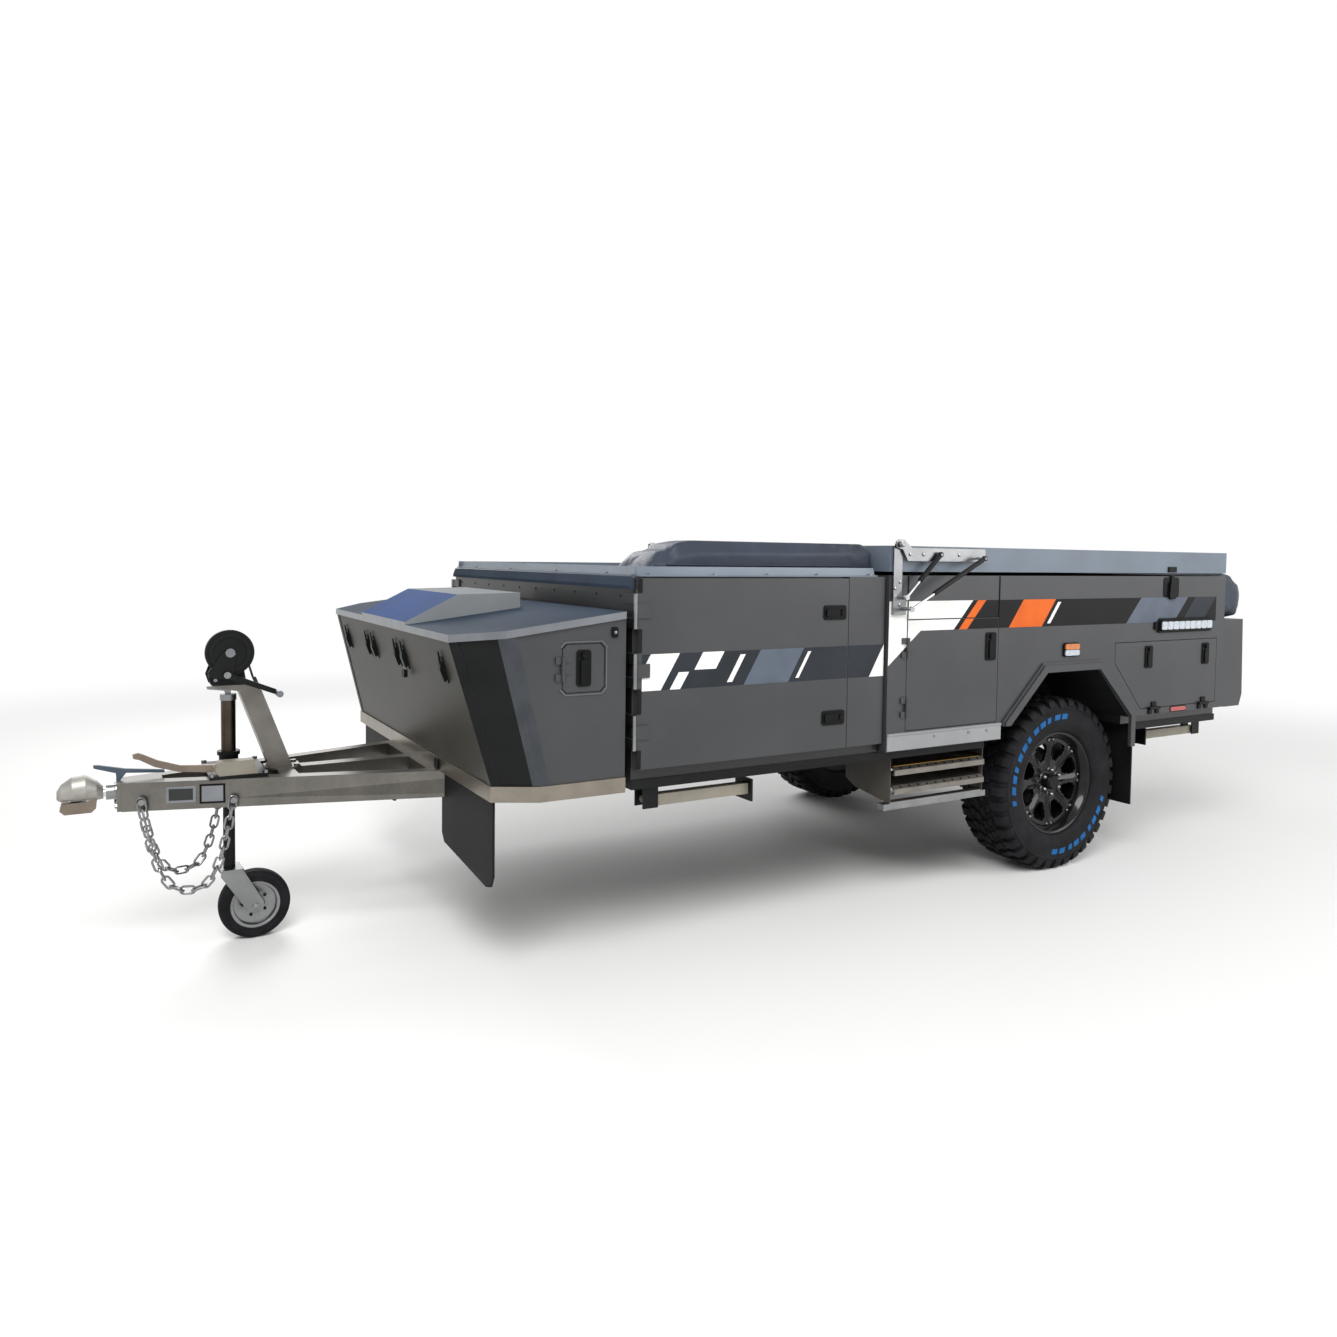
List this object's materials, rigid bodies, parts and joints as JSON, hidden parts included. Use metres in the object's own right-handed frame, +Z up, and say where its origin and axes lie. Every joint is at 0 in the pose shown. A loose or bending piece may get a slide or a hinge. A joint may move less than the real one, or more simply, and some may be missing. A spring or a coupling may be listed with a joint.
{
  "type": "folding camper trailer",
  "caption": "Off-road camper trailer with a forward-folding hard lid, a boat-shaped front box, soft covers, a spoked road wheel each side and a jockey wheel.",
  "frame": {"origin": "middle of the base of the bounding box, on the floor", "axes": "+X towards the coupling, +Y the kerb side with the entry door, +Z up"},
  "size_m": [5.362, 2.114, 1.513],
  "materials": {
    "steel": "satin black powder coat",
    "galv": "zinc plated steel",
    "silver": "satin silver grey paint",
    "body": "gloss metallic grey paint",
    "vinyl": "coated blue grey cloth",
    "tyre": "matte rubber",
    "rubber": "matte rubber",
    "rim": "satin black paint",
    "lamp": "clear over red plastic",
    "plastic": "matte black plastic"
  },
  "bodies": {
    "trailer": {"arch_flares": "steel", "box_latches": "galv", "box_rail": "steel", "box_shell": "body", "chassis_frame": "steel", "coil_springs": "steel", "coupling_socket": "steel", "drawbar": "steel", "front_body": "body", "front_cover": "vinyl", "handbrake": "steel", "hinge_posts": "silver", "jockey_tube": "galv", "lamps": "lamp", "leg_mounts": "steel", "mud_flaps": "rubber", "rear_body": "body", "rear_box": "body", "rear_cover": "vinyl", "safety_chains": "galv", "step_frame": "steel", "stone_flaps": "rubber", "top_rails": "galv", "trailing_arms": "steel", "water_tank": "plastic", "winch": "steel", "winch_post": "steel", "winch_strap": "vinyl"},
    "coupling": {"coupling_head": "steel"},
    "jockey_leg": {"jockey_stem": "steel"},
    "jockey_caster": {"jockey_fork": "steel"},
    "jockey_wheel": {"jockey_rim": "galv", "jockey_tyre": "rubber"},
    "box_lid": {"box_lid": "body"},
    "box_hatch_near": {"box_hatch_near": "body"},
    "box_hatch_far": {"box_hatch_far": "body"},
    "front_door_near": {"front_door_near": "body"},
    "front_door_far": {"front_door_far": "body"},
    "entry_door": {"entry_door": "body"},
    "rear_hatch_near": {"rear_hatch_near": "body"},
    "rear_hatch_far": {"rear_hatch_far": "body"},
    "main_lid": {"lid": "body", "lid_arms": "silver"},
    "short_struts": {"strut_a_tubes": "silver"},
    "short_rods": {"strut_a_rods": "silver"},
    "long_struts": {"strut_b_tubes": "silver"},
    "long_rods": {"strut_b_rods": "silver"},
    "wheel_near": {"hub_near": "steel", "rim_near": "rim", "tyre_near": "tyre"},
    "wheel_far": {"hub_far": "steel", "rim_far": "rim", "tyre_far": "tyre"},
    "steps": {"step_treads": "silver"},
    "leg_front_near": {"leg_front_near": "steel"},
    "leg_front_far": {"leg_front_far": "steel"},
    "leg_rear_near": {"leg_rear_near": "steel"},
    "leg_rear_far": {"leg_rear_far": "steel"}
  },
  "joints": [
    {"name": "coupling_roll", "type": "hinge", "parent": "trailer", "child": "coupling", "pos_m": [2.5, 0, 0.592], "axis": [1, 0, 0], "continuous": true},
    {"name": "jockey_lift", "type": "slide", "parent": "trailer", "child": "jockey_leg", "axis": [0, 0, 1], "range_m": [0, 0.2]},
    {"name": "jockey_swivel", "type": "hinge", "parent": "jockey_leg", "child": "jockey_caster", "pos_m": [2.143, 0, 0.26], "axis": [0, 0, 1], "continuous": true},
    {"name": "jockey_roll", "type": "hinge", "parent": "jockey_caster", "child": "jockey_wheel", "pos_m": [2.058, 0, 0.125], "axis": [0, 1, 0], "continuous": true},
    {"name": "wheel_near_roll", "type": "hinge", "parent": "trailer", "child": "wheel_near", "pos_m": [-1.309, 0.775, 0.4015], "axis": [0, 1, 0], "continuous": true},
    {"name": "wheel_far_roll", "type": "hinge", "parent": "trailer", "child": "wheel_far", "pos_m": [-1.309, -0.775, 0.4015], "axis": [0, 1, 0], "continuous": true},
    {"name": "box_lid_hinge", "type": "hinge", "parent": "trailer", "child": "box_lid", "pos_m": [0.999, 0, 1.232], "axis": [0, 1, 0], "range_deg": [-70, 0]},
    {"name": "box_hatch_near_hinge", "type": "hinge", "parent": "trailer", "child": "box_hatch_near", "pos_m": [1.2435, 0.967, 1.06], "axis": [0, 0, -1], "range_deg": [0, 100]},
    {"name": "box_hatch_far_hinge", "type": "hinge", "parent": "trailer", "child": "box_hatch_far", "pos_m": [1.2435, -0.967, 1.06], "axis": [0, 0, 1], "range_deg": [0, 100]},
    {"name": "front_door_near_hinge", "type": "hinge", "parent": "trailer", "child": "front_door_near", "pos_m": [0.983, 0.976, 1.03], "axis": [0, 0, -1], "range_deg": [0, 110]},
    {"name": "front_door_far_hinge", "type": "hinge", "parent": "trailer", "child": "front_door_far", "pos_m": [0.983, -0.976, 1.03], "axis": [0, 0, 1], "range_deg": [0, 110]},
    {"name": "entry_door_hinge", "type": "hinge", "parent": "trailer", "child": "entry_door", "pos_m": [-0.2515, 0.991, 0.97], "axis": [0, 0, -1], "range_deg": [0, 105]},
    {"name": "rear_hatch_near_hinge", "type": "hinge", "parent": "trailer", "child": "rear_hatch_near", "pos_m": [-2.069, 0.991, 0.7325], "axis": [-1, 0, 0], "range_deg": [0, 95]},
    {"name": "rear_hatch_far_hinge", "type": "hinge", "parent": "trailer", "child": "rear_hatch_far", "pos_m": [-2.069, -0.991, 0.7325], "axis": [1, 0, 0], "range_deg": [0, 95]},
    {"name": "main_lid_hinge", "type": "hinge", "parent": "trailer", "child": "main_lid", "pos_m": [-0.184, 0, 1.493], "axis": [0, 1, 0], "range_deg": [0, 180]},
    {"name": "short_strut_swing", "type": "hinge", "parent": "main_lid", "child": "short_struts", "pos_m": [-0.388, 0, 1.455], "axis": [0, 1, 0], "range_deg": [-91.86, 0]},
    {"name": "short_strut_travel", "type": "slide", "parent": "short_struts", "child": "short_rods", "axis": [0.7231, 0, -0.6908], "range_m": [0, 0.0898]},
    {"name": "long_strut_swing", "type": "hinge", "parent": "main_lid", "child": "long_struts", "pos_m": [-0.611, 0, 1.442], "axis": [0, 1, 0], "range_deg": [-62, 0]},
    {"name": "long_strut_travel", "type": "slide", "parent": "long_struts", "child": "long_rods", "axis": [0.8908, 0, -0.4543], "range_m": [0, 0.099]},
    {"name": "steps_slide", "type": "slide", "parent": "trailer", "child": "steps", "axis": [0, 1, 0], "range_m": [0, 0.2]},
    {"name": "leg_front_near_swing", "type": "hinge", "parent": "trailer", "child": "leg_front_near", "pos_m": [0.891, 0.9, 0.575], "axis": [0, -1, 0], "range_deg": [0, 90]},
    {"name": "leg_front_far_swing", "type": "hinge", "parent": "trailer", "child": "leg_front_far", "pos_m": [0.891, -0.9, 0.575], "axis": [0, -1, 0], "range_deg": [0, 90]},
    {"name": "leg_rear_near_swing", "type": "hinge", "parent": "trailer", "child": "leg_rear_near", "pos_m": [-2.369, 0.86, 0.575], "axis": [0, 1, 0], "range_deg": [0, 90]},
    {"name": "leg_rear_far_swing", "type": "hinge", "parent": "trailer", "child": "leg_rear_far", "pos_m": [-2.369, -0.86, 0.575], "axis": [0, 1, 0], "range_deg": [0, 90]}
  ],
  "couplings": [
    {"joint": "short_strut_swing", "follows": "main_lid_hinge", "ratio": -0.50476},
    {"joint": "short_strut_travel", "follows": "main_lid_hinge", "m_per_rad": 0.028416},
    {"joint": "long_strut_swing", "follows": "main_lid_hinge", "ratio": -0.3389},
    {"joint": "long_strut_travel", "follows": "main_lid_hinge", "m_per_rad": 0.031347}
  ]
}
